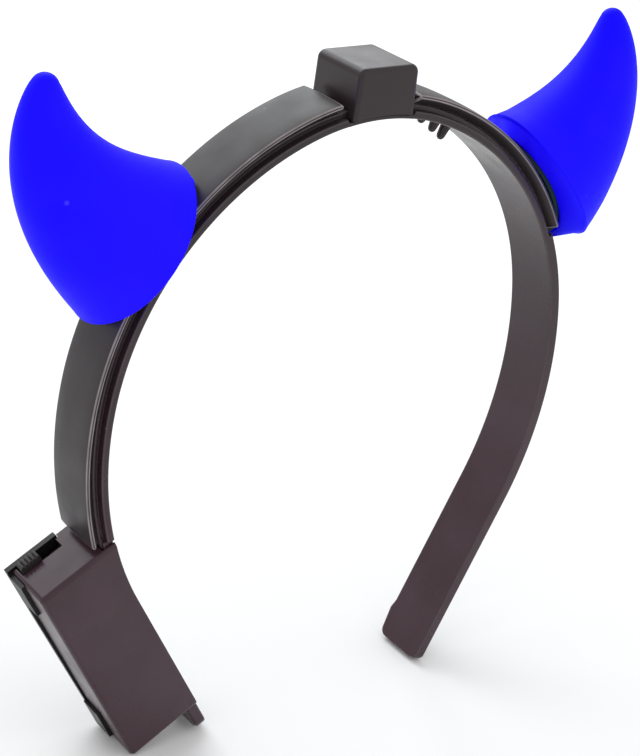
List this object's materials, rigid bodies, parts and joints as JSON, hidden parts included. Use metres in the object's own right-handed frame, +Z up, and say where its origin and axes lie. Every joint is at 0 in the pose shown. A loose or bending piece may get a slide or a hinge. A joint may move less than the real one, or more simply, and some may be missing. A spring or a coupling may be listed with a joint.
{
  "type": "devil horns headband",
  "caption": "Sprung plastic headband with two curved hollow devil horns, a raised crown housing and a slim battery box with a slide switch.",
  "frame": {"origin": "on the surface that the headband stands on, under the middle of its bounding box", "axes": "+Z up through the crown, +X from the battery box arm towards the free arm, -Y the near edge of the band as the picture shows it"},
  "size_m": [0.1722, 0.0324, 0.1756],
  "materials": {
    "band_plastic": "satin black moulded plastic",
    "cover_plastic": "satin black moulded plastic with a soft sheen",
    "housing_plastic": "satin black moulded plastic",
    "door_plastic": "matt black moulded plastic",
    "knob_plastic": "matt black moulded plastic, ribbed",
    "horn_plastic": "soft translucent blue vinyl, satin",
    "socket_plastic": "matt black moulded plastic"
  },
  "bodies": {
    "headband": {"strap": "band_plastic", "cover_left": "cover_plastic", "cover_right": "cover_plastic", "crown_housing": "housing_plastic", "battery_box": "housing_plastic", "battery_door": "door_plastic", "horn_left": "horn_plastic", "horn_right": "horn_plastic", "socket_left": "socket_plastic", "socket_right": "socket_plastic"},
    "switch": {"switch_knob": "knob_plastic"}
  },
  "joints": [
    {"name": "switch_slide", "type": "slide", "parent": "headband", "child": "switch", "axis": [0.8668, 0, 0.4987], "range_m": [0, 0.0036]}
  ]
}
